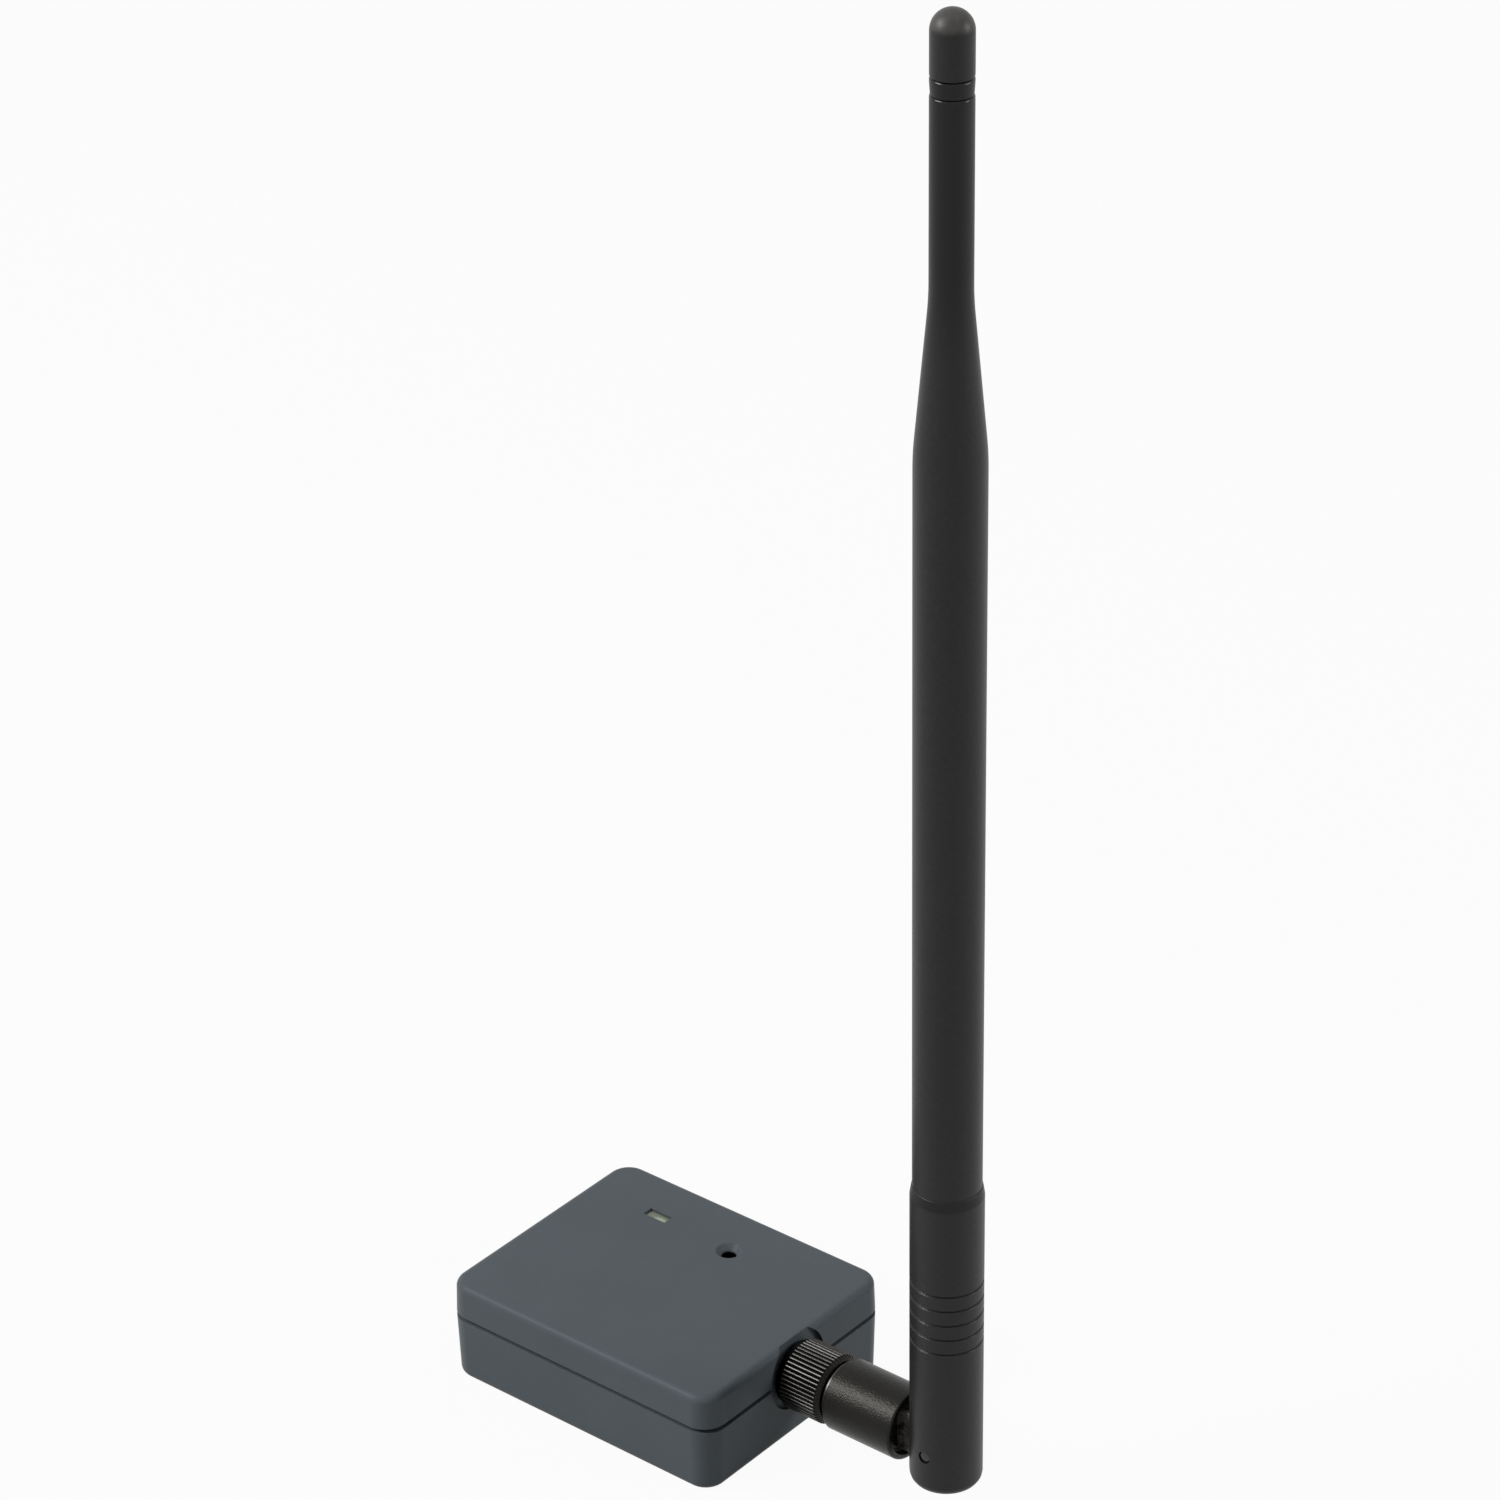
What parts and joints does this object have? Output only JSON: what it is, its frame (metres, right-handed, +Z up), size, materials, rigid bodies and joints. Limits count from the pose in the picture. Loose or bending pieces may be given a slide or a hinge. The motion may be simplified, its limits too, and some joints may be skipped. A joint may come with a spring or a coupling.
{
  "type": "wireless receiver with whip antenna",
  "caption": "Small drafted two-part plastic case with a light window, a pin-hole button and a data socket, and a screw-on knuckle-jointed whip antenna that tilts and swivels.",
  "frame": {"origin": "middle of the flat underside of the case", "axes": "+Z up along the raised antenna, +X out of the antenna socket, +Y towards the light window's side of the case"},
  "size_m": [0.1021, 0.0508, 0.2819],
  "materials": {
    "case_plastic": "fine moulded texture, slate grey",
    "antenna_plastic": "matte black",
    "knuckle_plastic": "satin black",
    "nut_plating": "black plated, knurled",
    "plug_plating": "black plated",
    "light_pipe_plastic": "translucent",
    "board_laminate": "solder mask",
    "black_plastic": "moulded",
    "led_plastic": "moulded",
    "bright_steel": "plated",
    "capacitor_can": "satin",
    "gold_plating": "plated",
    "white_insulator": "turned",
    "copper": "bare",
    "cable_jacket": "extruded",
    "spacer_foam": "foamed"
  },
  "bodies": {
    "housing": {"top_cover": "case_plastic", "base_shell": "case_plastic", "light_pipe": "light_pipe_plastic", "circuit_board": "board_laminate", "status_led": "led_plastic", "radio_module": "board_laminate", "shield_can": "bright_steel", "processor_chip": "black_plastic", "capacitors": "capacitor_can", "switch_body": "black_plastic", "data_shell": "bright_steel", "data_tongue": "black_plastic", "case_screws": "bright_steel", "jack_body": "gold_plating", "jack_insulator": "white_insulator", "jack_contact": "gold_plating"},
    "button": {"pair_button": "black_plastic"},
    "plug": {"plug_body": "plug_plating", "plug_insulator": "white_insulator", "plug_pin": "gold_plating", "nut_ring": "bright_steel", "swivel_clip": "bright_steel"},
    "nut": {"coupling_nut": "nut_plating"},
    "swivel": {"knuckle": "knuckle_plastic", "feed_cable_lower": "cable_jacket"},
    "antenna": {"base_sleeve": "antenna_plastic", "hinge_pin": "plug_plating", "radome": "antenna_plastic", "tip_ring": "antenna_plastic", "tip_cap": "antenna_plastic", "feed_cable_upper": "cable_jacket", "dipole_sleeve": "copper", "radiator": "copper", "element_spacers": "spacer_foam"}
  },
  "joints": [
    {"name": "button_press", "type": "slide", "parent": "housing", "child": "button", "axis": [0, 0, -1], "range_m": [0, 0.00025], "stiffness_N_per_m": 800},
    {"name": "plug_draw", "type": "slide", "parent": "housing", "child": "plug", "axis": [1, 0, 0], "range_m": [0, 0.00353]},
    {"name": "nut_turn", "type": "hinge", "parent": "plug", "child": "nut", "pos_m": [0.0302, 0, 0.01325], "axis": [1, 0, 0], "range_deg": [0, 1818]},
    {"name": "antenna_swivel", "type": "hinge", "parent": "plug", "child": "swivel", "pos_m": [0.0414, 0, 0.01325], "axis": [1, 0, 0], "continuous": true},
    {"name": "antenna_tilt", "type": "hinge", "parent": "swivel", "child": "antenna", "pos_m": [0.06452, 0, 0.01325], "axis": [0, 1, 0], "range_deg": [0, 90]}
  ],
  "couplings": [
    {"joint": "nut_turn", "follows": "plug_draw", "rad_per_m": 8905.3}
  ]
}
